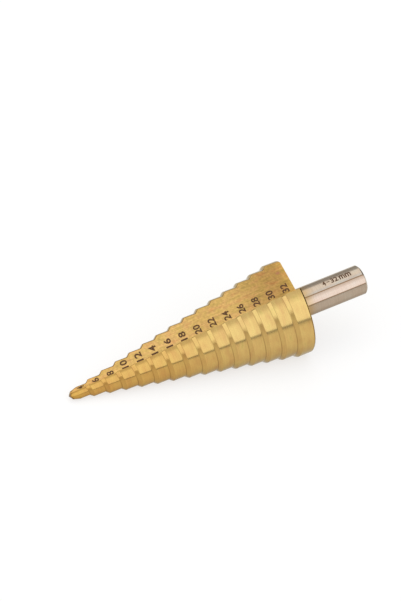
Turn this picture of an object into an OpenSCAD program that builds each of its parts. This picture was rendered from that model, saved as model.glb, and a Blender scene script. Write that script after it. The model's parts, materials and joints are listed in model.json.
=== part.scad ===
// Step drill: one piece of tool steel with fifteen steps from 4 mm to 32 mm,
// two straight flutes and a round shank with three flats.
//
// It is drawn upright, point down on the Z axis, and then laid down as it rests
// on a table: one flute on top, the corners of the other flute's rim on the table.
// In a cross-section, angle 0 is the middle of the flute that ends up underneath,
// and the land behind each cutting edge lies at growing angles.

/* [Steps] */
// Diameter that the first step cuts
first_d = 4; // [3:0.5:6]
// What each further step adds to the diameter
step_rise = 2; // [1:0.25:2]
// Number of steps, the first one included
step_count = 15; // [5:1:18]
// Distance along the axis from one step to the next
step_pitch = 5.2; // [4:0.1:8]
// Length along the axis of each sloped shoulder, at the cutting edge
shoulder_len = 1.2; // [0.8:0.1:1.6]
// Distance from the point to the first shoulder
first_shoulder = 5.5; // [4:0.1:9]
// Length of the widest step behind its shoulder
last_land = 5.7; // [3:0.1:10]
// Chamfer round the rear rim of the widest step
rear_chamfer = 0.4; // [0.2:0.1:1]

/* [Point] */
// Diameter of the tapered lead at the chisel end
nose_d = 2.2; // [1.8:0.1:2.8]
// Length of the tapered lead in front of the first step
lead_len = 3; // [2:0.1:3.8]
// Full angle between the two faces of the chisel end
point_angle = 118; // [90:1:140]
// Angle from each cutting face back to the chisel edge
chisel_turn = 110; // [95:1:125]

/* [Flutes] */
// Distance by which each cutting face stands ahead of the axis
rake_ahead = 0.42; // [0.3:0.01:0.6]
// Distance of the flute's root from the axis at the point, along the cutting face
root_at_point = 0.6; // [0.5:0.05:0.9]
// Rise of the root towards the shank, as a part of the steps' own rise
root_rise_ratio = 0.63; // [0.5:0.01:0.7]
// Angle between the cutting face and the wall that carries the size marks
flute_angle = 99.5; // [85:0.5:105]
// Radius in the root of each flute
root_r = 0.5; // [0.2:0.05:0.6]

/* [Clearance behind the cutting edges] */
// Sideways offset of the lands' centre, which lets them fall away
land_offset = 0.1; // [0.05:0.01:0.2]
// Sideways offset of the shoulders' centre, which lets them recede
shoulder_offset = 0.78; // [0.2:0.02:0.9]

/* [Shank] */
// Diameter of the shank
shank_d = 10; // [6:0.5:13]
// Length of the shank from the cone's rear face to its end
shank_len = 25; // [18:0.5:40]
// Number of flats round the shank
flat_count = 3; // [2:1:3]
// Depth of each flat below the round
flat_depth = 0.22; // [0.1:0.01:0.22]
// Angle from the upper cutting face back to the middle of the first flat
flat_turn = 19; // [0:1:60]
// Chamfer at the free end of the shank
end_chamfer = 0.6; // [0.3:0.1:1.2]
// Sloped fillet where the shank leaves the cone
neck_fillet = 0.4; // [0.2:0.1:0.8]

/* [Hidden] */

$fn = 96;

gold = [0.83, 0.68, 0.36];
bare_steel = [0.72, 0.70, 0.67];

last_step = step_count - 1;
shoulder_slope = step_rise / 2 / shoulder_len;
cone_len = shoulder_z(last_step) + shoulder_len + last_land;
total_len = cone_len + shank_len;
max_r = step_r(last_step);
shank_r = shank_d / 2;
nose_r = nose_d / 2;

// How far each shoulder's cone runs on inside the step in front of it
shoulder_root = 1;
// Spare length of a body past what it cuts or joins
spare = 2;

flute_tilt = atan(root_rise_ratio * step_rise / 2 / step_pitch);
flute_reach = 3 * max_r;
wall_normal = 90 - flute_angle;

// Radius of step k, and the height at which the shoulder and the land of step k begin
function step_r(k) = (first_d + k * step_rise) / 2;
function shoulder_z(k) = first_shoulder + (k - 1) * step_pitch;
function land_z(k) = k == 0 ? lead_len : shoulder_z(k) + shoulder_len;

// Distance from the axis to the marked wall at height z, square to the wall
function wall_distance(z) =
    (root_at_point + z * tan(flute_tilt)) * cos(wall_normal) - rake_ahead * sin(wall_normal);

// Angle from the cutting face's direction to each edge of the flute, at radius r
function cut_edge(r) = -asin(rake_ahead / r);
function heel_edge(r, z) = wall_normal - acos(wall_distance(z) / r);

// Direction of the lower flute's cutting face, with both rim corners of the widest
// step equally far round from the middle of the flute
cut_dir = -(cut_edge(max_r) + heel_edge(max_r, land_z(last_step))) / 2;

// Depth below the axis of step k's front corner, on the cutting side of the lower flute
function corner_depth(k) = step_r(k) * cos(cut_dir + cut_edge(step_r(k)) + rest_roll);

// Front corner of the widest step on the heel side, which the clearances draw in and back
heel_back = 180 + heel_edge(max_r, land_z(last_step));
heel_r = max_r - land_offset * sin(heel_back);
heel_shift = (shoulder_offset - land_offset) * sin(heel_back) / shoulder_slope;
heel_dir = cut_dir + heel_edge(heel_r, land_z(last_step) + heel_shift);

// Small turn about the axis that brings the heel's corner down to the table too
corner_dir = cut_dir + cut_edge(max_r);
steps_slope = cos(cut_dir) * step_rise / 2 / step_pitch;
heel_gap = max_r * cos(corner_dir) - heel_r * cos(heel_dir) + heel_shift * steps_slope;
rest_roll = atan(heel_gap / (max_r * sin(corner_dir) - heel_r * sin(heel_dir)));

// Slope of the axis on the table, where the widest step and one further step touch it
rest_slope = min([
    for (k = [0:last_step - 1])
        (corner_depth(last_step) - corner_depth(k)) / (land_z(last_step) - land_z(k))
]);
rest_tilt = atan(rest_slope);
rest_lift = corner_depth(last_step) * cos(rest_tilt) - land_z(last_step) * sin(rest_tilt);
rest_front = -nose_r * sin(rest_tilt) * cos(180 - cut_dir - chisel_turn);
rest_rear = total_len * cos(rest_tilt) + (shank_r - end_chamfer) * sin(rest_tilt);

// One step behind a cutting edge. Its land is round about one offset centre and its
// shoulder about another, so both touch the work at the cutting edge only
module step(k) {
    top = k == last_step ? cone_len : land_z(k + 1) + spare;
    bottom = shoulder_z(k) - shoulder_root;
    cone_r = step_r(k - 1) - shoulder_root * shoulder_slope;
    cone_h = top + spare - bottom;
    intersection() {
        translate([0, -land_offset, bottom])
            land(step_r(k), top - bottom);
        translate([0, -shoulder_offset, bottom])
            cylinder(r1 = cone_r, r2 = cone_r + cone_h * shoulder_slope, h = cone_h);
    }
}

// Round blank of one step. Only the widest step shows its rear rim, the others are
// buried in the step behind them
module land(r, h) {
    rotate_extrude()
        polygon([[0, 0], [r, 0], [r, h - rear_chamfer], [r - rear_chamfer, h], [0, h]]);
}

// First step with its tapered lead
module first_step() {
    r = step_r(0);
    top = land_z(1) + spare;
    rotate_extrude()
        polygon([[0, 0], [nose_r, 0], [r, lead_len], [r, top], [0, top]]);
}

// Half of the stepped cone: all that lies behind one cutting edge
module half_cone() {
    intersection() {
        rotate([0, 0, cut_dir]) {
            first_step();
            for (k = [1:last_step]) step(k);
        }
        translate([-max_r - spare, 0, -spare])
            cube([2 * (max_r + spare), max_r + spare, cone_len + 2 * spare]);
    }
}

// Section of one flute, with its root at the origin and the cutting face along +X
module flute_section() {
    tangent = root_r / tan(flute_angle / 2);
    wall = [cos(flute_angle), -sin(flute_angle)];
    difference() {
        polygon([[0, 0], [flute_reach, 0], [flute_reach, -flute_reach], flute_reach * wall]);
        difference() {
            polygon([[0, 0], [tangent, 0], [tangent, -root_r], tangent * wall]);
            translate([tangent, -root_r]) circle(r = root_r);
        }
    }
}

// Space of one flute, whose root moves outwards towards the shank
module flute() {
    over = 3 * spare;
    rotate([0, 0, cut_dir])
        translate([root_at_point, -rake_ahead, 0])
            rotate([0, flute_tilt, 0])
                translate([0, 0, -over])
                    linear_extrude(height = cone_len / cos(flute_tilt) + 2 * over)
                        flute_section();
}

// All that stands above the two faces of the chisel end
module above_chisel() {
    reach = 2 * max_r;
    rise = reach / tan(point_angle / 2);
    rotate([0, 0, cut_dir + chisel_turn])
        rotate([90, 0, 0])
            linear_extrude(height = 2 * reach, center = true)
                polygon([[0, 0], [reach, rise], [reach, cone_len + rise],
                    [-reach, cone_len + rise], [-reach, rise]]);
}

module cone() {
    intersection() {
        difference() {
            union() {
                half_cone();
                rotate([0, 0, 180]) half_cone();
            }
            flute();
            rotate([0, 0, 180]) flute();
        }
        above_chisel();
    }
}

// Round shank on a stub sunk into the cone, with flats for the chuck's jaws
module shank() {
    neck_r = shank_r + neck_fillet;
    stub_r = shank_r / 2;
    difference() {
        translate([0, 0, cone_len])
            rotate_extrude()
                polygon([[0, -spare], [stub_r, -spare], [stub_r, 0], [neck_r, 0],
                    [shank_r, neck_fillet], [shank_r, shank_len - end_chamfer],
                    [shank_r - end_chamfer, shank_len], [0, shank_len]]);
        for (i = [0:flat_count - 1])
            rotate([0, 0, cut_dir + 180 + flat_turn + i * 360 / flat_count])
                translate([shank_r - flat_depth, -shank_r, cone_len])
                    cube([shank_r, shank_d, shank_len + spare]);
    }
}

module step_drill() {
    translate([-(rest_front + rest_rear) / 2, 0, rest_lift])
        rotate([0, 90 - rest_tilt, 0])
            rotate([0, 0, rest_roll]) {
                color(gold) cone();
                color(bare_steel) shank();
            }
}

step_drill();
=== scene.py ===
"""Step drill, dressed: gold titanium nitride on the cone, bare ground steel on the shank.

The drill is one piece, so it is one closed mesh. It is worked out in the drill's own
frame, in millimetres: the point at the origin, the axis along Z, and angles counted
from a cutting face back over the land behind it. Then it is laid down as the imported
model lies.
"""

import json
import math

import bmesh
import bpy
import numpy as np
from mathutils import Matrix, Vector


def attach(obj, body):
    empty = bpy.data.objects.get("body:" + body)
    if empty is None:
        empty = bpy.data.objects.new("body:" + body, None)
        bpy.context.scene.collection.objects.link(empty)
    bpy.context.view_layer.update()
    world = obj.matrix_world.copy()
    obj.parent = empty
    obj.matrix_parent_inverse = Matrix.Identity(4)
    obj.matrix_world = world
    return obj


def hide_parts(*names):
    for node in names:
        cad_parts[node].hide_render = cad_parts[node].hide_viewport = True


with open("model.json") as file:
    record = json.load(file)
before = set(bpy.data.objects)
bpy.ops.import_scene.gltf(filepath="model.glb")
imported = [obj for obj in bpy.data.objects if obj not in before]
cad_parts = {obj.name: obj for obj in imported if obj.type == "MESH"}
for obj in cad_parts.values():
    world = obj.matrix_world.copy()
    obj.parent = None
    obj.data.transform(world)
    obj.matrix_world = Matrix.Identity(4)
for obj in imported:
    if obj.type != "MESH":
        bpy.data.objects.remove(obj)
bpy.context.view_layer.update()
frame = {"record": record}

MM = 0.001

# Steps
FIRST_R = 2.0
STEP_RISE = 1.0
STEP_COUNT = 15
STEP_PITCH = 5.2
SHOULDER_LEN = 1.2
FIRST_SHOULDER = 5.5
LAST_LAND = 5.7
REAR_CHAMFER = 0.4
LAST_STEP = STEP_COUNT - 1
SHOULDER_ANGLE = math.atan(STEP_RISE / SHOULDER_LEN)

# Point
NOSE_R = 1.1
NOSE_BAND = 0.6
LEAD_LEN = 3.0
POINT_ANGLE = math.radians(118)
CHISEL_TURN = math.radians(110)
RIDGE_TURN = CHISEL_TURN - math.pi / 2

# Flutes
RAKE_AHEAD = 0.42
ROOT_AT_POINT = 0.6
ROOT_RISE_RATIO = 0.63
FLUTE_TILT = math.atan(ROOT_RISE_RATIO * STEP_RISE / STEP_PITCH)
FLUTE_ANGLE = math.radians(99.5)
ROOT_R = 0.5

# Clearance behind the cutting edges
LAND_OFFSET = 0.1
SHOULDER_OFFSET = 0.78

# Shank
SHANK_R = 5.0
SHANK_LEN = 25.0
NECK_FILLET = 0.4
END_CHAMFER = 0.6
FLAT_COUNT = 3
FLAT_DEPTH = 0.22
FLAT_TURN = math.radians(19)
FLAT_HALF = math.acos((SHANK_R - FLAT_DEPTH) / SHANK_R)
FLAT_REACH = 1.5 * FLAT_HALF
FLAT_PITCH = 2 * math.pi / FLAT_COUNT

# Widths of the small roundings that catch the light, and the angle from which an edge is
# shown sharp
CORNER_REACH = 0.13
CORNER_FILLET = 0.22
EDGE_BREAK = 0.05
HEEL_BREAK = 0.18
FLAT_BREAK = math.radians(3)
END_BREAK = 0.07
SHARP_ANGLE = math.radians(32)

# Places in the list of rims. Each step behind the first has six of them: three for the
# corner in front of its shoulder, and three for the corner behind it. All but the outer
# two lie on the shoulder
FIRST_STEP_RIM = 5
RIMS_PER_STEP = 6
SHOULDER_RIMS = range(1, 5)
REAR_RIM = FIRST_STEP_RIM + RIMS_PER_STEP * LAST_STEP

# Share of painted shade, drawn as a dark line, on the rounded heel edges and beside the
# cutting edges, where it fades between two columns of the mesh, and on a flat beside its
# first edge
HEEL_EDGE_SHADE = 0.8
CUTTING_EDGE_SHADE = 0.3
CUTTING_EDGE_COLUMNS = (6, 10)
FLAT_SHADE = 0.4

# Size marks. The numbers stand on the upper flute's wall, one to a step, and take up to
# three quarters of its width. Their gap from the root grows along the drill, and the first
# ones stand about the middle of the narrow wall. Bolder strokes than these would leave the
# outlines open
MARK_DEPTH = 0.012
BOLDNESS = 0.03
DIGIT_HEIGHT = 2.4
DIGIT_WIDTHS = {1: 1.45, 2: 3.25}
FIRST_MARK = 4.3
MARK_ROOM = 0.75
ROOT_GAP_GROWTH = 0.03
ROOT_GAP_START = -0.1
FIRST_MARK_MIDDLE = 0.45

# Range of sizes on the shank: each word with its start and end along the drill, its height
# and the drop of its middle below the line's
RANGE_HEIGHT = 1.97
RANGE_WORDS = [
    ("4", 90.7, 91.8, RANGE_HEIGHT, 0.0),
    ("-", 92.2, 93.3, 0.3, 0.0),
    ("32", 93.7, 96.3, RANGE_HEIGHT, 0.0),
    ("mm", 96.8, 101.0, 0.87 * RANGE_HEIGHT, 0.065 * RANGE_HEIGHT),
]
RANGE_TURN = math.radians(24.4)
WRAP_STRIP = 0.3

# Level that the floor glows with, without light on it, the share of that glow left far
# out, and the oval round the drill where it glows fully, a painted pool of light, with
# the sizes of that oval between which it fades
FLOOR_OWN_WHITE = 0.68
FLOOR_FAR_SHARE = 0.72
GLOW_FADE = (0.5, 1.2)
GLOW_TURN = math.radians(-24.6)
GLOW_WIDTH = 0.24
GLOW_LENGTH = 0.5
GLOW_MIDDLE = (0.015, 0.068, 0.0)

# Fineness of the mesh, and rounds in which a point or an angle closes in on its place
LAND_COLUMNS = 72
ROOT_SEGMENTS = 6
FLAT_COLUMNS = 6
ROUND_COLUMNS = 36
NECK_ROWS = 4
END_RINGS = 5
SLIDES = 12
HALVINGS = 50

# Turn of the lower and the upper flute's cutting face away from straight down
CUT_TURN = math.radians(32.58)
UPPER_TURN = CUT_TURN + math.pi

# Distance in mm between the surface coordinates of the two lobes
LOBE_SHIFT = 60.0

# Reddish smear beside the last size mark of the upper flute: its place in surface
# coordinates and its size
SMEAR_PLACE = (LOBE_SHIFT - 9.75, 77.6)
SMEAR_SIZE = (0.5, 0.9)


def step_r(k):
    """Radius that step k cuts."""
    return FIRST_R + k * STEP_RISE


def shoulder_z(k):
    """Height at which the shoulder in front of step k begins."""
    return FIRST_SHOULDER + (k - 1) * STEP_PITCH


CONE_LEN = shoulder_z(LAST_STEP) + SHOULDER_LEN + LAST_LAND
CONE_R = step_r(LAST_STEP)


# The drill's place, from the shank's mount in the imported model

def drill_placement():
    """Matrix from the drill's own frame, in millimetres, to the row frame, in metres."""
    mount = next(m for m in frame["record"]["mounts"] if m["name"] == "shank")
    axis = Vector(mount["axis"]).normalized()
    mount_z = CONE_LEN + (SHANK_LEN + NECK_FILLET - END_CHAMFER) / 2
    point = Vector(mount["pos_m"]) - axis * mount_z * MM
    tilt = math.atan2(axis.z, axis.x)
    lie_down = Matrix.Rotation(math.pi / 2 - tilt, 4, "Y")
    return Matrix.Translation(point) @ lie_down @ Matrix.Diagonal((MM, MM, MM, 1))


PLACE = drill_placement()


# Shape of the stepped cone. A rim is a line round one lobe of the cone, given as a
# function from an angle behind the cutting face to (radius, height)

def land_radius(k, angle, inset=0.0):
    """Radius of step k's land at an angle, round about its offset centre."""
    offset = 0.0 if k == 0 else LAND_OFFSET
    r = step_r(k) - inset
    return -offset * math.sin(angle) + math.sqrt(r * r - (offset * math.cos(angle)) ** 2)


def shoulder_height(k, angle, radius):
    """Height at which shoulder k's offset cone has the given radius at an angle."""
    cone_r = math.sqrt(
        radius * radius
        + 2 * radius * SHOULDER_OFFSET * math.sin(angle)
        + SHOULDER_OFFSET * SHOULDER_OFFSET
    )
    return shoulder_z(k) + (cone_r - step_r(k - 1)) / math.tan(SHOULDER_ANGLE)


def shoulder_rim(k, on_land):
    """Rim where shoulder k meets the land of step on_land."""

    def rim(angle):
        r = land_radius(on_land, angle)
        return r, shoulder_height(k, angle, r)

    return rim


def chisel_rim(angle):
    """Rim where the tapered lead meets the two faces of the chisel end."""
    taper = (FIRST_R - NOSE_R) / LEAD_LEN
    rise = abs(math.cos(angle - CHISEL_TURN)) / math.tan(POINT_ANGLE / 2)
    r = NOSE_R / (1 - taper * rise)
    return r, r * rise


def softened(rim, before, after, reach=CORNER_REACH):
    """Three rims that round a corner off. before and after are the slopes of the two
    surfaces against the axis."""

    def shifted(slope, way):
        def moved(angle):
            r, z = rim(angle)
            return r + way * reach * math.sin(slope), z + way * reach * math.cos(slope)

        return moved

    first = shifted(before, -1)
    last = shifted(after, 1)

    def middle(angle):
        points = first(angle), rim(angle), rim(angle), last(angle)
        return tuple(sum(p[i] for p in points) / 4 for i in (0, 1))

    return [first, middle, last]


def cone_rims():
    """All rims of one lobe, from the chisel end to the rear face."""
    lead_slope = math.atan((FIRST_R - NOSE_R) / LEAD_LEN)

    def nose_rim(angle):
        r, z = chisel_rim(angle)
        return r + NOSE_BAND * math.tan(lead_slope), z + NOSE_BAND

    rims = [chisel_rim, nose_rim]
    rims += softened(lambda angle: (FIRST_R, LEAD_LEN), lead_slope, 0.0)
    for k in range(1, STEP_COUNT):
        rims += softened(shoulder_rim(k, k - 1), 0.0, SHOULDER_ANGLE, CORNER_FILLET)
        rims += softened(shoulder_rim(k, k), SHOULDER_ANGLE, 0.0)

    def rear_rim(angle):
        return land_radius(LAST_STEP, angle), CONE_LEN - REAR_CHAMFER

    rims += softened(rear_rim, 0.0, -math.pi / 4)
    rims.append(lambda angle: (land_radius(LAST_STEP, angle, REAR_CHAMFER), CONE_LEN))
    return rims


def around(rim, angle):
    """Point of a rim at an angle."""
    r, z = rim(angle)
    return np.array([r * math.cos(angle), r * math.sin(angle), z])


# Flute of a lobe, ahead of its cutting face. x runs along the cutting face, out of the
# root, y across it, and both stand square to the tilted line of the root

FLUTE_X = np.array([math.cos(FLUTE_TILT), 0.0, -math.sin(FLUTE_TILT)])
FLUTE_Z = np.array([math.sin(FLUTE_TILT), 0.0, math.cos(FLUTE_TILT)])
FLUTE_START = np.array([ROOT_AT_POINT, -RAKE_AHEAD, 0.0])
WALL_ALONG = math.cos(FLUTE_ANGLE) * FLUTE_X - np.array([0.0, math.sin(FLUTE_ANGLE), 0.0])
WALL_NORMAL = np.cross(FLUTE_Z, WALL_ALONG)
HALF_TURN = np.array([-1.0, -1.0, 1.0])


def flute_point(x, y, height):
    """Point of the flute's section at (x, y), moved along the flute to a height. A
    height may be a function of the point, such as the chisel's faces."""
    base = FLUTE_START + x * FLUTE_X + np.array([0.0, y, 0.0])
    point = base
    for _ in range(SLIDES if callable(height) else 1):
        z = height(point) if callable(height) else height
        point = base + FLUTE_Z * (z - base[2]) / FLUTE_Z[2]
    return point


def chisel_height(point):
    """Height of the chisel's faces over a point, in the frame of either lobe."""
    across = point[0] * math.cos(CHISEL_TURN) + point[1] * math.sin(CHISEL_TURN)
    return abs(across) / math.tan(POINT_ANGLE / 2)


def root_section():
    """Points (x, y) of the rounded root, from the cutting face to the marked wall."""
    tangent = ROOT_R / math.tan(FLUTE_ANGLE / 2)
    sweep = math.pi - FLUTE_ANGLE
    turns = [math.pi / 2 + sweep * i / ROOT_SEGMENTS for i in range(ROOT_SEGMENTS + 1)]
    return [(tangent + ROOT_R * math.cos(a), -ROOT_R + ROOT_R * math.sin(a)) for a in turns]


def crossing(side, low, high):
    """Angle between low and high at which side(angle) changes its sign."""
    rising = side(high) > side(low)
    for _ in range(HALVINGS):
        middle = (low + high) / 2
        if (side(middle) > 0) == rising:
            high = middle
        else:
            low = middle
    return (low + high) / 2


def cutting_angle(rim):
    """Angle at which a rim meets its lobe's cutting face."""
    return crossing(lambda a: around(rim, a)[1] + RAKE_AHEAD, -math.pi / 4, math.pi / 4)


def heel_angle(rim):
    """Angle at which a rim meets the marked wall behind its lobe."""

    def side(angle):
        return (around(rim, angle) * HALF_TURN - FLUTE_START) @ WALL_NORMAL

    return crossing(side, math.pi / 3, math.radians(170))


# Closed mesh of the drill

TURNED, GROUND, SHANK, FLAT = range(4)


class DrillMesh:
    """Vertices with the share of painted shade on them, faces, and for each face its finish
    and its surface coordinates in mm."""

    def __init__(self):
        self.points = []
        self.grime = []
        self.faces = []
        self.finishes = []
        self.surface_mm = []

    def add(self, point, grime=0.0):
        """One vertex. Returns its place in the list."""
        self.points.append(tuple(point))
        self.grime.append(grime)
        return len(self.points) - 1

    def face(self, corners, finish):
        """One face. corners holds (vertex, (u, v)) pairs, and doubles are left out."""
        kept = [c for i, c in enumerate(corners) if c[0] != corners[i - 1][0]]
        if len(kept) > 2:
            self.faces.append([vertex for vertex, _ in kept])
            self.surface_mm.append([uv for _, uv in kept])
            self.finishes.append(finish)

    def grid(self, rows, finish):
        """Faces between rows of (vertex, (u, v)) pairs. finish may be a list, by column."""
        for low, high in zip(rows, rows[1:]):
            for i in range(len(low) - 1):
                chosen = finish[i] if isinstance(finish, list) else finish
                self.face([low[i], low[i + 1], high[i + 1], high[i]], chosen)


def turned(point, angle):
    """A point turned about the drill's axis."""
    c, s = math.cos(angle), math.sin(angle)
    return np.array([c * point[0] - s * point[1], s * point[0] + c * point[1], point[2]])


def inset_edge(edge, normal, width, ends):
    """Points of an edge line moved into its flat face by a width. ends holds functions
    that put the first and the last point back on the faces they lie in."""
    moved = []
    for i, point in enumerate(edge):
        ahead = edge[min(i + 1, len(edge) - 1)] - edge[max(i - 1, 0)]
        into = np.cross(normal, ahead)
        into /= np.linalg.norm(into)
        if into @ np.array([point[0], point[1], 0.0]) > 0:
            into = -into
        moved.append(point + width * into)
    for i, back in zip((0, -1), ends):
        moved[i] = back(moved[i])
    return moved


def bent(outer, edge, inner):
    """Middle point of a small rounding between two points beside an edge."""
    return (outer + 2 * edge + inner) / 4


def ridge_column(angles):
    """Column of the chisel's rim that is nearest to the ridge between its two faces."""
    return min(range(len(angles)), key=lambda i: abs(angles[i] - RIDGE_TURN))


def rim_angles(rim):
    """Angles of a rim's columns: between the two edge breaks, evenly spaced. One column
    of the chisel's rim stands on the ridge."""
    first = cutting_angle(rim)
    last = heel_angle(rim)
    first += EDGE_BREAK / rim(first)[0]
    last -= HEEL_BREAK / rim(last)[0]
    angles = [first + (last - first) * i / LAND_COLUMNS for i in range(LAND_COLUMNS + 1)]
    if rim is chisel_rim:
        angles[ridge_column(angles)] = RIDGE_TURN
    return angles


def place_in_step(j):
    """Place of rim j among the six of its step, or None in front of or behind them all."""
    return (j - FIRST_STEP_RIM) % RIMS_PER_STEP if FIRST_STEP_RIM <= j < REAR_RIM else None


def rim_grime(j, angle):
    """Share of painted shade on rim j at an angle behind the cutting face. It draws a dark
    line in the corner in front of each shoulder, where the shoulder shades the land, and
    thinner shade on the shoulder, on the corner behind it and towards the heel. The nose
    and the rear rim are painted dark as well."""
    # Painted shade: the nose and the rear rim are drawn dark
    if j in (0, REAR_RIM + 1, REAR_RIM + 2):
        return 1.0
    behind = math.degrees(angle)
    heel = float(np.interp(behind, [52, 78, 95], [0.0, 0.2, 0.3]))
    place = place_in_step(j)
    if place is None:
        return heel
    front_corner = np.interp(behind, [0, 30, 60], [0.55, 0.45, 0.65])
    back_corner = np.interp(behind, [15, 30], [0.55, 0.25])
    shoulder = np.interp(behind, [16, 20, 25, 33, 42], [0.0, 0.26, 0.36, 0.24, 0.16])
    by_place = [0.1, front_corner, shoulder, shoulder, back_corner, 0.0]
    return max(heel, float(by_place[place]))


def edge_grime(j, column):
    """Share of painted shade on rim j in a column beside the cutting edge, on the lands only:
    a darker strip that stands in for shade.
    """
    if place_in_step(j) in SHOULDER_RIMS:
        return 0.0
    return CUTTING_EDGE_SHADE * float(np.interp(column, CUTTING_EDGE_COLUMNS, (1, 0)))


def build_lobe(mesh, turn, rims, shift):
    """Outer surface of one lobe, with its rounded cutting and heel edges. Returns its
    rows of vertices and, for each rim, the vertex and point on the cutting face and those
    on the wall behind the lobe. The faces beside the lobe start without painted shade. shift
    moves the surface coordinates, so that no two lobes look the same."""
    y_axis = np.array([0.0, 1.0, 0.0])
    cut_edge = [around(rim, cutting_angle(rim)) for rim in rims]
    heel_edge = [around(rim, heel_angle(rim)) for rim in rims]
    wall_normal = WALL_NORMAL * HALF_TURN

    def to_chisel(direction):
        def put(point):
            for _ in range(SLIDES):
                point = point + direction * (chisel_height(point) - point[2])
            return point

        return put

    def to_rear(direction):
        def put(point):
            return point + direction * (CONE_LEN - point[2])

        return put

    upright = np.array([0.0, 0.0, 1.0])
    along_wall = FLUTE_Z * HALF_TURN / FLUTE_Z[2]
    cut_ends = to_chisel(upright), to_rear(upright)
    wall_ends = to_chisel(along_wall), to_rear(along_wall)
    cut_face = inset_edge(cut_edge, y_axis, EDGE_BREAK, cut_ends)
    wall_face = inset_edge(heel_edge, wall_normal, HEEL_BREAK, wall_ends)

    rows = []
    on_cut_face = []
    on_wall = []
    for j, rim in enumerate(rims):
        angles = rim_angles(rim)
        points = [around(rim, a) for a in angles]
        points.insert(0, bent(points[0], cut_edge[j], cut_face[j]))
        points.append(bent(points[-1], heel_edge[j], wall_face[j]))
        angles = [cutting_angle(rim)] + angles + [heel_angle(rim)]
        points = [cut_face[j]] + points + [wall_face[j]]
        angles = [angles[0]] + angles + [angles[-1]]
        row = []
        for i, (angle, point) in enumerate(zip(angles, points)):
            around_mm = angle * math.hypot(point[0], point[1]) + shift
            # Painted shade: a dark line on the rounded heel edge, and darker rims in the
            # corners and beside the cutting edge
            if j == len(rims) - 1 or (j > 0 and i in (0, len(points) - 1)):
                grime = 0.0
            elif i == len(points) - 2:
                grime = HEEL_EDGE_SHADE
            else:
                grime = max(rim_grime(j, angle), edge_grime(j, i))
            row.append((mesh.add(turned(point, turn), grime), (around_mm, point[2])))
        rows.append(row)
        on_cut_face.append((row[0][0], cut_face[j]))
        on_wall.append((row[-1][0], wall_face[j]))
    mesh.grid(rows, TURNED)
    return rows, on_cut_face, on_wall


def build_flute(mesh, turn, on_cut_face, on_wall, shift):
    """Cutting face, rounded root and marked wall of one flute. on_wall belongs to the
    other lobe. Returns the rows of vertices, from the cutting face to the wall."""
    root = root_section()
    wall_shift = ROOT_R / math.tan(FLUTE_ANGLE / 2)
    rows = []
    for j, ((cut, cut_point), (wall, wall_point)) in enumerate(zip(on_cut_face, on_wall)):
        wall_point = wall_point * HALF_TURN
        reach = (cut_point - FLUTE_START) @ FLUTE_X
        height = (wall_point - FLUTE_START) @ WALL_ALONG
        row = [(cut, (reach + shift, cut_point[2]))]
        for i, (x, y) in enumerate(root):
            share = i / ROOT_SEGMENTS
            level = cut_point[2] + (wall_point[2] - cut_point[2]) * share
            point = flute_point(x, y, chisel_height if j == 0 else level)
            along = wall_shift * (1 - 2 * share)
            row.append((mesh.add(turned(point, turn)), (along + shift, point[2])))
        row.append((wall, (shift - height, wall_point[2])))
        rows.append(row)
    mesh.grid([row[::-1] for row in rows], GROUND)
    return rows


def shank_radius(angle):
    """Radius at which the flats stop the shank, at an angle from the upper cutting face.
    In the wider neck they reach past their edges, and away from them there is no stop."""
    off = (angle - FLAT_TURN + FLAT_PITCH / 2) % FLAT_PITCH - FLAT_PITCH / 2
    if abs(off) > FLAT_REACH:
        return math.inf
    return (SHANK_R - FLAT_DEPTH) / math.cos(off)


def shank_columns():
    """Columns round the shank, each with its angle, the share of painted shade on it and the
    finish from there on. Three stand close together at each edge of a flat, and the middle
    one carries a dark line of painted shade. Some lies on the flats beside their first edge,
    and the round behind the first flat, which faces down, is painted darker."""
    flat = FLAT_HALF - FLAT_BREAK
    start = FLAT_HALF + FLAT_BREAK
    span = FLAT_PITCH - 2 * start
    columns = []
    for i in range(FLAT_COUNT):
        middle = FLAT_TURN + i * FLAT_PITCH
        columns.append((middle - FLAT_HALF, 1.0, FLAT))
        for n in range(FLAT_COLUMNS + 1):
            grime = FLAT_SHADE * max(0.0, 1 - 2 * n / FLAT_COLUMNS)
            columns.append((middle - flat + 2 * flat * n / FLAT_COLUMNS, grime, FLAT))
        columns.append((middle + FLAT_HALF, 1.0, SHANK))
        for n in range(ROUND_COLUMNS + 1):
            places = [0, 12, 19, 30, ROUND_COLUMNS]
            # Painted shade: the round behind the first flat faces down, and is painted darker
            lower_side_shade = np.interp(n, places, [0.18, 0.22, 0.42, 0.4, 0.0])
            grime = float(lower_side_shade) if i == 0 else 0.0
            columns.append((middle + start + span * n / ROUND_COLUMNS, grime, SHANK))
    return columns


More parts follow.
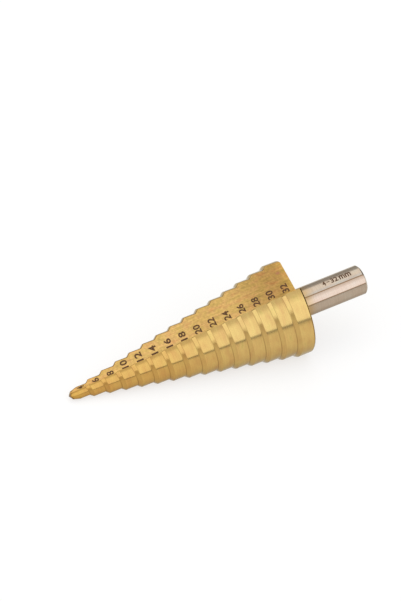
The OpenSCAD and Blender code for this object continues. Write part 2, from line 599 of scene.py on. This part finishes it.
def build_shank(mesh, turn):
    """Shank with its flats, from the cone's rear face to the free end. Returns its
    first row, which lies in the rear face."""
    columns = shank_columns()
    end_r = SHANK_R - END_CHAMFER
    rows = []

    def add_row(radius, height, shade_share=0.0):
        """One row at a height, or at a height that depends on the radius. Its last argument
        is the share of the columns' painted shade that the row carries."""
        row = []
        for angle, grime, _ in columns:
            r = min(radius, shank_radius(angle))
            z = CONE_LEN + (height(r) if callable(height) else height)
            point = (r * math.cos(angle), r * math.sin(angle), z)
            along = z + max(0.0, end_r - r)
            vertex = mesh.add(turned(point, turn), grime * shade_share)
            row.append((vertex, (angle * SHANK_R, along)))
        row.append((row[0][0], ((columns[0][0] + 2 * math.pi) * SHANK_R, row[0][1][1])))
        rows.append(row)

    for i in range(NECK_ROWS + 1):
        bend = math.pi / 2 * i / NECK_ROWS
        add_row(SHANK_R + NECK_FILLET * (1 - math.sin(bend)),
                NECK_FILLET * (1 - math.cos(bend)), shade_share=i / NECK_ROWS)
    add_row(SHANK_R, lambda r: SHANK_LEN - (r - end_r) - END_BREAK, shade_share=1.0)
    side_rows = len(rows)
    add_row(SHANK_R - END_BREAK / 2, lambda r: SHANK_LEN - (r - end_r))
    add_row(end_r + END_BREAK, SHANK_LEN - END_BREAK)
    add_row(end_r, SHANK_LEN - END_BREAK / 4)
    for i in range(END_RINGS):
        add_row((end_r - END_BREAK) * (1 - i / END_RINGS), SHANK_LEN)
    mesh.grid(rows[:side_rows], [finish for _, _, finish in columns])
    mesh.grid(rows[side_rows - 1:], SHANK)
    length = CONE_LEN + SHANK_LEN
    centre = mesh.add((0.0, 0.0, length)), (0.0, length + end_r)
    for a, b in zip(rows[-1], rows[-1][1:]):
        mesh.face([a, b, centre], SHANK)
    return [vertex for vertex, _ in rows[0][:-1]]


def zip_loops(mesh, outer, inner, finish):
    """Triangles between two loops round the axis. Their surface coordinates run round
    the axis and outwards, so that turning lines come out as rings."""

    def by_angle(loop):
        corners = []
        for vertex in loop:
            x, y, _ = mesh.points[vertex]
            corners.append((math.atan2(y, x) % (2 * math.pi), math.hypot(x, y), vertex))
        corners.sort()
        angle, radius, vertex = corners[0]
        return corners + [(angle + 2 * math.pi, radius, vertex)]

    def corner(place):
        angle, radius, vertex = place
        return vertex, (angle * CONE_R / 2, radius)

    outer = by_angle(outer)
    inner = by_angle(inner)
    i = j = 0
    while i < len(outer) - 1 or j < len(inner) - 1:
        here = [corner(outer[i]), corner(inner[j])]
        inner_done = j == len(inner) - 1
        if i < len(outer) - 1 and (inner_done or outer[i + 1][0] <= inner[j + 1][0]):
            i += 1
            mesh.face([here[0], corner(outer[i]), here[1]], finish)
        else:
            j += 1
            mesh.face([here[0], corner(inner[j]), here[1]], finish)


def build_drill():
    """The whole drill as one closed mesh."""
    mesh = DrillMesh()
    rims = cone_rims()
    turns = [CUT_TURN, UPPER_TURN]
    shifts = [0.0, LOBE_SHIFT]
    lobes = [build_lobe(mesh, turn, rims, shift) for turn, shift in zip(turns, shifts)]
    flutes = []
    for i, (turn, shift) in enumerate(zip(turns, shifts)):
        flutes.append(build_flute(mesh, turn, lobes[i][1], lobes[1 - i][2], shift))

    def end_loop(j):
        loop = []
        for i in (0, 1):
            loop += [vertex for vertex, _ in lobes[i][0][j]]
            loop += [vertex for vertex, _ in flutes[1 - i][j][-2:0:-1]]
        return loop

    # The ridge parts the front end into the chisel's two faces. In a row, two vertices of
    # the rounded edge come before the columns
    front = end_loop(0)
    ridge = ridge_column(rim_angles(chisel_rim)) + 2
    starts = [front.index(lobes[i][0][0][ridge][0]) for i in (0, 1)]
    halves = front[starts[0]:starts[1] + 1], front[starts[1]:] + front[:starts[0] + 1]
    for half in halves:
        mesh.face([(v, mesh.points[v][:2]) for v in reversed(half)], GROUND)

    neck = build_shank(mesh, UPPER_TURN)
    zip_loops(mesh, end_loop(-1), neck, TURNED)
    return mesh


def make_drill(materials):
    """The drill's visible piece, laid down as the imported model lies."""
    shape = build_drill()
    data = bpy.data.meshes.new("step_drill_body")
    data.from_pydata([PLACE @ Vector(p) for p in shape.points], [], shape.faces)
    for material in materials:
        data.materials.append(material)
    data.polygons.foreach_set("material_index", shape.finishes)
    uv = data.uv_layers.new(name="surface_mm")
    flat = [value for face in shape.surface_mm for pair in face for value in pair]
    uv.data.foreach_set("uv", flat)
    # Painted shade, which the materials draw in brown
    grime = data.attributes.new("grime", "FLOAT", "POINT")
    grime.data.foreach_set("value", shape.grime)
    data.validate()
    body = bmesh.new()
    body.from_mesh(data)
    bmesh.ops.recalc_face_normals(body, faces=body.faces)
    big = [f for f in body.faces if len(f.verts) > 4]
    bmesh.ops.triangulate(body, faces=big)
    body.to_mesh(data)
    body.free()
    data.shade_smooth()
    data.set_sharp_from_angle(angle=SHARP_ANGLE)
    drill = bpy.data.objects.new("step_drill_body", data)
    bpy.context.scene.collection.objects.link(drill)
    weighted = drill.modifiers.new("face weighted normals", "WEIGHTED_NORMAL")
    weighted.keep_sharp = True
    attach(drill, "root")
    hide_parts("step_drill")


# Size marks: closed plates of plain lettering, a hair proud of the surface that they mark

def flat_lettering(text, width, height):
    """Mesh of a line of lettering in mm, width x height, with its middle at the origin:
    x along the line, y towards the tops of the letters, z out of the surface."""
    outline = bpy.data.curves.new("lettering", "FONT")
    outline.body = text
    outline.offset = BOLDNESS
    outline.resolution_u = 4
    outline.extrude = 1.0
    holder = bpy.data.objects.new("lettering", outline)
    bpy.context.scene.collection.objects.link(holder)
    evaluated = holder.evaluated_get(bpy.context.evaluated_depsgraph_get())
    plate = bmesh.new()
    plate.from_mesh(evaluated.to_mesh())
    evaluated.to_mesh_clear()
    bpy.data.objects.remove(holder)
    bpy.data.curves.remove(outline)
    bmesh.ops.remove_doubles(plate, verts=plate.verts, dist=1e-5)
    low = [min(v.co[i] for v in plate.verts) for i in (0, 1)]
    high = [max(v.co[i] for v in plate.verts) for i in (0, 1)]
    for v in plate.verts:
        v.co.x = (v.co.x - (low[0] + high[0]) / 2) * width / (high[0] - low[0])
        v.co.y = (v.co.y - (low[1] + high[1]) / 2) * height / (high[1] - low[1])
        v.co.z *= MARK_DEPTH
    return plate


def laid_mark(plate, place):
    """Vertices and faces of a plate, with each vertex moved by place(x, y, z)."""
    plate.verts.index_update()
    points = [PLACE @ Vector(place(*v.co)) for v in plate.verts]
    faces = [[v.index for v in f.verts] for f in plate.faces]
    plate.free()
    return points, faces


def mark_z(k):
    """Height of the middle of step k's size mark."""
    return FIRST_MARK + k * STEP_PITCH


def wall_width(k):
    """Width of the marked wall beside step k, from the root to the heel's edge."""

    def rim(angle):
        return land_radius(k, angle), mark_z(k)

    return (around(rim, heel_angle(rim)) * HALF_TURN - FLUTE_START) @ WALL_ALONG


def size_mark(k):
    """The size of step k on the upper flute's wall, read from the root outwards."""
    text = str(round(2 * step_r(k)))
    width = min(DIGIT_WIDTHS[len(text)], MARK_ROOM * wall_width(k))
    plate = flat_lettering(text, width, DIGIT_HEIGHT)
    root_gap = max(ROOT_GAP_GROWTH * mark_z(k) + ROOT_GAP_START,
                   FIRST_MARK_MIDDLE * wall_width(0) - width / 2)
    middle = flute_point(0.0, 0.0, mark_z(k)) + WALL_ALONG * (root_gap + width / 2)
    middle = middle + FLUTE_Z * (mark_z(k) - middle[2]) / FLUTE_Z[2]

    def place(x, y, z):
        point = middle + x * WALL_ALONG - y * FLUTE_Z + z * WALL_NORMAL
        return turned(point, UPPER_TURN)

    return laid_mark(plate, place)


def shank_mark(text, start, end, height, drop):
    """One word of the range of sizes, wrapped round the shank beside its upper flat. It
    is cut into strips along the drill first, so that it can bend."""
    plate = flat_lettering(text, end - start, height)
    strips = round(height / WRAP_STRIP)
    for i in range(1, strips):
        everything = plate.verts[:] + plate.edges[:] + plate.faces[:]
        cut = (0, height * (i / strips - 0.5), 0)
        bmesh.ops.bisect_plane(plate, geom=everything, plane_co=cut, plane_no=(0, 1, 0))

    def place(x, y, z):
        angle = UPPER_TURN - RANGE_TURN - (y - drop) / SHANK_R
        r = SHANK_R + z
        return r * math.cos(angle), r * math.sin(angle), (start + end) / 2 + x

    return laid_mark(plate, place)


def make_marks(name, marks, material):
    """One piece out of several marks."""
    points, faces = [], []
    for mark_points, mark_faces in marks:
        faces += [[len(points) + i for i in face] for face in mark_faces]
        points += mark_points
    data = bpy.data.meshes.new(name)
    data.from_pydata(points, [], faces)
    data.materials.append(material)
    data.validate()
    piece = bpy.data.objects.new(name, data)
    bpy.context.scene.collection.objects.link(piece)
    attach(piece, "root")


# Materials. Patterns are sized in mm on the drill's surface: first round the drill or
# across the flute, then along it

def colour(hex_code):
    """Linear colour of an sRGB hex value."""
    parts = [int(hex_code[i:i + 2], 16) / 255 for i in (1, 3, 5)]
    linear = [p / 12.92 if p <= 0.04045 else ((p + 0.055) / 1.055) ** 2.4 for p in parts]
    return (*linear, 1.0)


def add_node(tree, kind, output, inputs=None, stops=None, **settings):
    """Adds a node with its settings and links, and returns the output of that name. An
    input goes by its identifier, and its value is a number, a colour or an output. The
    stops are those of a colour ramp."""
    node = tree.nodes.new(kind)
    for name, value in settings.items():
        setattr(node, name, value)
    if stops:
        elements = node.color_ramp.elements
        while len(elements) < len(stops):
            elements.new(0.5)
        for element, (position, shade) in zip(elements, stops):
            element.position = position
            element.color = colour(shade) if isinstance(shade, str) else (*[shade] * 3, 1.0)
    sockets = {socket.identifier: socket for socket in node.inputs}
    for name, value in (inputs or {}).items():
        if isinstance(value, bpy.types.NodeSocket):
            tree.links.new(value, sockets[name])
        else:
            sockets[name].default_value = value
    return next((socket for socket in node.outputs if socket.identifier == output), None)


def new_material(name):
    """An empty material and its node tree."""
    material = bpy.data.materials.new(name)
    material.use_nodes = True
    material.node_tree.nodes.clear()
    return material, material.node_tree


def pattern(tree, across, along, detail=2.0, lean=0.0, seed=0.0):
    """Noise from 0 to 1 on the drill's surface, with blotches of that size in mm, which
    may lean out of line by an angle."""
    surface = add_node(tree, "ShaderNodeUVMap", "UV", uv_map="surface_mm")
    sized = add_node(tree, "ShaderNodeMapping", "Vector", {
        "Vector": surface,
        "Location": (seed, seed, 0.0),
        "Rotation": (0.0, 0.0, lean),
        "Scale": (1 / across, 1 / along, 1.0)})
    return add_node(tree, "ShaderNodeTexNoise", "Fac", {
        "Vector": sized, "Scale": 1.0, "Detail": detail, "Roughness": 0.55})


def height_on_drill(tree):
    """Height along the drill, in mm."""
    surface = add_node(tree, "ShaderNodeUVMap", "UV", uv_map="surface_mm")
    return add_node(tree, "ShaderNodeSeparateXYZ", "Y", {"Vector": surface})


def share_of_cone(tree):
    """Height along the drill as a share of the cone's length."""
    return add_node(tree, "ShaderNodeMath", "Value", {
        "Value": height_on_drill(tree), "Value_001": CONE_LEN}, operation="DIVIDE")


def shaded(tree, plain, value, stops):
    """The plain colour, deepened or lightened by the stops that a value runs through."""
    shade = add_node(tree, "ShaderNodeValToRGB", "Color", {"Fac": value}, stops=stops)
    return add_node(tree, "ShaderNodeMix", "Result_Color", {
        "Factor_Float": 1.0, "A_Color": plain, "B_Color": shade},
        data_type="RGBA", blend_type="MULTIPLY")


def grimed(tree, unshaded):
    """The colour with painted shade, a brown that stands in for shade, where the mesh carries
    it.
    """
    share = add_node(tree, "ShaderNodeAttribute", "Fac", attribute_name="grime")
    return add_node(tree, "ShaderNodeMix", "Result_Color", {
        "Factor_Float": share, "A_Color": unshaded, "B_Color": colour("#6e4a1c")},
        data_type="RGBA")


def as_metal(tree, base, lines, roughness, relief, at_a_slant):
    """Finishes a metal whose tool lines vary its roughness between two values and stand
    in relief, given as a strength and a depth in mm. Where it is seen at a slant, it
    takes another colour, a little duller than white."""
    rough = add_node(tree, "ShaderNodeMapRange", "Result", {
        "Value": lines, "To Min": roughness[0], "To Max": roughness[1]})
    normal = add_node(tree, "ShaderNodeBump", "Normal", {
        "Height": lines, "Strength": relief[0], "Distance": relief[1] * MM})
    shader = add_node(tree, "ShaderNodeBsdfPrincipled", "BSDF", {
        "Base Color": base, "Metallic": 1.0, "Roughness": rough, "Normal": normal,
        "Specular Tint": colour(at_a_slant)})
    add_node(tree, "ShaderNodeOutputMaterial", None, {"Surface": shader})


def titanium_nitride_on_turned_steel():
    """Lands, shoulders and rear face. Titanium nitride is a thin warm gold mirror, and
    keeps the fine rings of the turning under it. The rings draw reflections out along
    the drill, and patches of thicker coating, a few millimetres wide, are a little redder
    or greener. The coating is thicker and more orange towards the point. A thin brown line
    of painted shade lies in the corner in front of each shoulder."""
    material, tree = new_material("titanium nitride on turned steel")
    gold = add_node(tree, "ShaderNodeValToRGB", "Color", {
        "Fac": pattern(tree, 5.0, 2.2, detail=3.0)}, stops=[
        (0.3, "#caa264"), (0.46, "#cfab68"), (0.62, "#d3b26c"), (0.75, "#c3aa62")])
    # Rings stand 0.1 mm apart on the real steel, and 0.3 mm here, so that they show
    rings = pattern(tree, 25.0, 0.3, detail=3.0)
    ringed = shaded(tree, gold, rings, [(0.3, 0.93), (0.55, 1.0), (0.75, 1.03)])
    deepened = shaded(tree, ringed, share_of_cone(tree), [
        (0.0, "#e8d4ab"), (0.1, "#f6e6cb"), (0.4, "#f9eedb"), (0.7, "#ffffff")])
    as_metal(tree, grimed(tree, deepened), rings, (0.1, 0.17), (0.3, 0.004), "#dfe0da")
    return material


def titanium_nitride_on_ground_steel():
    """Flutes and point. The wheel leaves long scratches along the flute, which blur the
    gold and let single lines catch the light, and stains a few millimetres long. Near
    the shank the gold is painted deeper and browner, as painted shade where the light
    from overhead reflects dimmer, and one reddish smear stands beside the last size mark
    of the upper flute."""
    material, tree = new_material("titanium nitride on ground steel")
    gold = add_node(tree, "ShaderNodeValToRGB", "Color", {
        "Fac": pattern(tree, 1.8, 4.5, detail=4.0, lean=math.radians(8))}, stops=[
        (0.3, "#cc9a60"), (0.44, "#cda668"), (0.56, "#caa863"), (0.7, "#ba9c5c")])
    # Scratches are a few hundredths of a millimetre wide, and drawn at 0.25 mm
    scratches = pattern(tree, 0.25, 14.0, detail=3.0, lean=math.radians(2))
    scratched = shaded(tree, gold, scratches, [(0.3, 0.78), (0.5, 0.98), (0.7, 1.1)])
    # Grains of the wheel leave speckles of 0.1 to 0.2 mm, drawn at 0.8 mm so that they show
    speckles = pattern(tree, 0.8, 0.9, detail=1.0, seed=3.0)
    speckled = shaded(tree, scratched, speckles, [(0.32, 0.88), (0.5, 1.0), (0.66, 1.12)])
    # Painted shade: deeper and browner towards the shank
    shaded_towards_shank = shaded(tree, speckled, share_of_cone(tree), [
        (0.0, "#fff6ea"), (0.45, "#fffdfa"), (0.6, "#f5f0e9"), (0.74, "#f7f3ec"),
        (0.86, "#dfd7cd"), (0.92, "#d4c9be"), (0.965, "#d5cabb"), (1.0, "#efe5c9")])
    surface = add_node(tree, "ShaderNodeUVMap", "UV", uv_map="surface_mm")
    smear_place = add_node(tree, "ShaderNodeMapping", "Vector", {
        "Vector": surface,
        "Location": [-place / size for place, size in zip(SMEAR_PLACE, SMEAR_SIZE)] + [0.0],
        "Scale": [1 / size for size in SMEAR_SIZE] + [1.0]})
    smear_reach = add_node(tree, "ShaderNodeVectorMath", "Value", {"Vector": smear_place},
                           operation="LENGTH")
    smear = add_node(tree, "ShaderNodeMapRange", "Result", {
        "Value": smear_reach, "From Min": 0.3, "From Max": 1.3, "To Min": 0.7, "To Max": 0.0})
    smeared = add_node(tree, "ShaderNodeMix", "Result_Color", {
        "Factor_Float": smear, "A_Color": shaded_towards_shank, "B_Color": colour("#a06552")},
        data_type="RGBA")
    as_metal(tree, grimed(tree, smeared), scratches, (0.24, 0.4), (0.5, 0.006), "#dfe0da")
    return material


def bare_steel(name, grey_stops):
    """Shank. Bare high-speed steel, ground round, is a slightly warm grey mirror with
    fine rings and faint blotches a few millimetres wide, and the flats get a lighter copy
    of it, a painted highlight. Masking kept the coating off it, but a gold haze crept past
    the cone. The corner at the cone is painted dark, as painted shade. The painted shade
    that the mesh carries draws dark lines along the flats' edges and darkens the round
    behind the first flat."""
    material, tree = new_material(name)
    grey = add_node(tree, "ShaderNodeValToRGB", "Color", {
        "Fac": pattern(tree, 3.0, 5.0, detail=3.0)}, stops=grey_stops)
    # The wheel's rings stand closer than 0.1 mm on the real shank, and 0.3 mm apart here
    rings = pattern(tree, 20.0, 0.3, detail=3.0)
    ringed = shaded(tree, grey, rings, [(0.3, 0.9), (0.5, 1.0), (0.7, 1.05)])
    height = height_on_drill(tree)
    # The haze ends in a wavering line
    wander = add_node(tree, "ShaderNodeMath", "Value", {
        "Value": pattern(tree, 4.0, 3.0, seed=7.0), "Value_001": 2.0, "Value_002": height},
        operation="MULTIPLY_ADD")
    haze = add_node(tree, "ShaderNodeMapRange", "Result", {
        "Value": wander, "From Min": CONE_LEN + 3.5, "From Max": CONE_LEN + 8.5,
        "To Min": 0.75, "To Max": 0.0}, interpolation_type="SMOOTHSTEP")
    hazed = add_node(tree, "ShaderNodeMix", "Result_Color", {
        "Factor_Float": haze, "A_Color": ringed, "B_Color": colour("#bb975c")},
        data_type="RGBA")
    # Painted shade: the shank is painted dark brown next to the cone's rear face
    neck_shade = add_node(tree, "ShaderNodeMapRange", "Result", {
        "Value": height, "From Min": CONE_LEN + 0.3, "From Max": CONE_LEN + 0.8,
        "To Min": 0.85, "To Max": 0.0}, interpolation_type="SMOOTHSTEP")
    neck_shaded = add_node(tree, "ShaderNodeMix", "Result_Color", {
        "Factor_Float": neck_shade, "A_Color": hazed, "B_Color": colour("#3a2a18")},
        data_type="RGBA")
    as_metal(tree, grimed(tree, neck_shaded), rings, (0.14, 0.24), (0.4, 0.004), "#e4e2dd")
    return material


def laser_mark(name, deep, pale):
    """Laser marking. The beam leaves a matt brown oxide, uneven along the strokes."""
    material, tree = new_material(name)
    place = add_node(tree, "ShaderNodeTexCoord", "Object")
    # Pits of a few hundredths of a millimetre, drawn at 0.35 mm so that they show
    pits = add_node(tree, "ShaderNodeTexNoise", "Fac", {
        "Vector": place, "Scale": 1 / (0.35 * MM), "Detail": 2.0})
    base = add_node(tree, "ShaderNodeValToRGB", "Color", {"Fac": pits},
                    stops=[(0.35, deep), (0.7, pale)])
    shader = add_node(tree, "ShaderNodeBsdfPrincipled", "BSDF", {
        "Base Color": base, "Metallic": 0.3, "Roughness": 0.6})
    add_node(tree, "ShaderNodeOutputMaterial", None, {"Surface": shader})
    return material


# Stage: floor, world and camera

def make_floor():
    """White floor under the drill. Part of its white is its own, for the camera and for
    the metal's reflections, and the rest is lit, so that it takes the drill's shadow.
    Its own glow is strongest in an oval round the drill, a painted pool of light, and
    farther out the floor is greyer, which shows in the metal beside the dark seam."""
    bpy.ops.mesh.primitive_plane_add(size=3.0, location=(0, 0, 0))
    floor = bpy.context.object
    floor.name = "floor"
    material, tree = new_material("matt white floor")
    lit = add_node(tree, "ShaderNodeBsdfDiffuse", "BSDF", {"Color": colour("#9b9893")})
    rays = tree.nodes.new("ShaderNodeLightPath").outputs
    mirrored = add_node(tree, "ShaderNodeMath", "Value", {
        "Value": rays["Is Glossy Ray"], "Value_001": rays["Is Transmission Ray"]},
        operation="ADD")
    seen = add_node(tree, "ShaderNodeMath", "Value", {
        "Value": rays["Is Camera Ray"], "Value_001": mirrored}, operation="ADD")
    place = add_node(tree, "ShaderNodeTexCoord", "Object")
    # Painted pool of light: the floor's own glow fades out from an oval round the drill
    in_glow = add_node(tree, "ShaderNodeMapping", "Vector", {
        "Vector": place, "Location": GLOW_MIDDLE, "Rotation": (0.0, 0.0, GLOW_TURN),
        "Scale": (GLOW_WIDTH, GLOW_LENGTH, 1.0)}, vector_type="TEXTURE")
    distance = add_node(tree, "ShaderNodeVectorMath", "Value", {"Vector": in_glow},
                        operation="LENGTH")
    white = add_node(tree, "ShaderNodeMapRange", "Result", {
        "Value": distance, "From Min": GLOW_FADE[0], "From Max": GLOW_FADE[1],
        "To Min": FLOOR_OWN_WHITE, "To Max": FLOOR_FAR_SHARE * FLOOR_OWN_WHITE},
        interpolation_type="SMOOTHSTEP")
    own_level = add_node(tree, "ShaderNodeMath", "Value", {
        "Value": seen, "Value_001": white}, operation="MULTIPLY")
    own = add_node(tree, "ShaderNodeEmission", "Emission", {"Strength": own_level})
    both = add_node(tree, "ShaderNodeAddShader", "Shader", {"Shader": lit, "Shader_001": own})
    add_node(tree, "ShaderNodeOutputMaterial", None, {"Surface": both})
    floor.data.materials.append(material)


def make_world():
    """Soft studio round the drill: a bright wall of light in front, a light overhead that
    reaches over to the back, a dim back and shank side, and a dark seam where light and
    floor meet."""
    world = bpy.data.worlds.new("soft studio")
    bpy.context.scene.world = world
    world.use_nodes = True
    tree = world.node_tree
    tree.nodes.clear()
    direction = add_node(tree, "ShaderNodeTexCoord", "Generated")
    x, y, z = (add_node(tree, "ShaderNodeSeparateXYZ", axis, {"Vector": direction})
               for axis in "XYZ")
    # Ahead of the point the seam sinks below the floor, so the shoulders don't show it
    sunk = add_node(tree, "ShaderNodeMapRange", "Result", {
        "Value": x, "From Min": -0.45, "From Max": -0.15, "To Min": 0.11, "To Max": 0.0})
    above_seam = add_node(tree, "ShaderNodeMath", "Value", {"Value": z, "Value_001": sunk},
                          operation="ADD")
    front = add_node(tree, "ShaderNodeValToRGB", "Color", {"Fac": above_seam}, stops=[
        (0.0, 0.55), (0.08, 0.55), (0.11, 1.66), (0.86, 1.68), (0.93, 1.42)])
    cool_front = add_node(tree, "ShaderNodeMix", "Result_Color", {
        "Factor_Float": 1.0, "A_Color": front, "B_Color": colour("#edf4ff")},
        data_type="RGBA", blend_type="MULTIPLY")
    back = add_node(tree, "ShaderNodeValToRGB", "Color", {"Fac": z}, stops=[
        (0.0, 0.5), (0.05, 0.48), (0.1, 0.48), (0.5, 0.52), (0.66, 0.6), (0.76, 1.3),
        (0.95, 1.38)])
    behind = add_node(tree, "ShaderNodeMapRange", "Result", {
        "Value": y, "From Min": -0.1, "From Max": 0.08}, interpolation_type="SMOOTHSTEP")
    walls = add_node(tree, "ShaderNodeMix", "Result_Color", {
        "Factor_Float": behind, "A_Color": cool_front, "B_Color": back}, data_type="RGBA")
    shank_side = add_node(tree, "ShaderNodeMapRange", "Result", {
        "Value": x, "From Min": 0.6, "From Max": 0.75}, interpolation_type="SMOOTHSTEP")
    level = add_node(tree, "ShaderNodeMix", "Result_Color", {
        "Factor_Float": shank_side, "A_Color": walls, "B_Color": (0.12, 0.12, 0.12, 1.0)},
        data_type="RGBA")
    light = add_node(tree, "ShaderNodeBackground", "Background", {"Color": level})
    add_node(tree, "ShaderNodeOutputWorld", None, {"Surface": light})


def make_camera():
    """Camera at the photograph's place and lens."""
    data = bpy.data.cameras.new("camera")
    data.sensor_fit = "HORIZONTAL"
    data.sensor_width = 36
    data.lens = 204.29
    data.clip_start = 0.01
    camera = bpy.data.objects.new("camera", data)
    bpy.context.scene.collection.objects.link(camera)
    camera.location = (-0.257175, -0.526465, 0.456012)
    camera.rotation_euler = [math.radians(a) for a in (53.6063, -1.1635, -24.5735)]
    bpy.context.scene.camera = camera


bpy.context.scene.view_settings.view_transform = "Standard"
make_camera()
make_world()
make_floor()
make_drill([
    titanium_nitride_on_turned_steel(),
    titanium_nitride_on_ground_steel(),
    bare_steel("bare ground steel", [(0.3, "#b9a895"), (0.5, "#bead9a"), (0.72, "#beb3a2")]),
    # The flats' copy of the steel is lighter than the round's: painted highlight for the
    # brighter light on the flats
    bare_steel("bare steel flat painted lighter", [(0.3, "#c9ae9a"), (0.5, "#cdb5a0"), (0.72, "#cab7a4")]),
])
make_marks("size_marks", [size_mark(k) for k in range(STEP_COUNT)],
           laser_mark("laser mark on titanium nitride", "#462808", "#6e4616"))
make_marks("range_mark", [shank_mark(*word) for word in RANGE_WORDS],
           laser_mark("laser mark on bare steel", "#442a14", "#6e4a2a"))
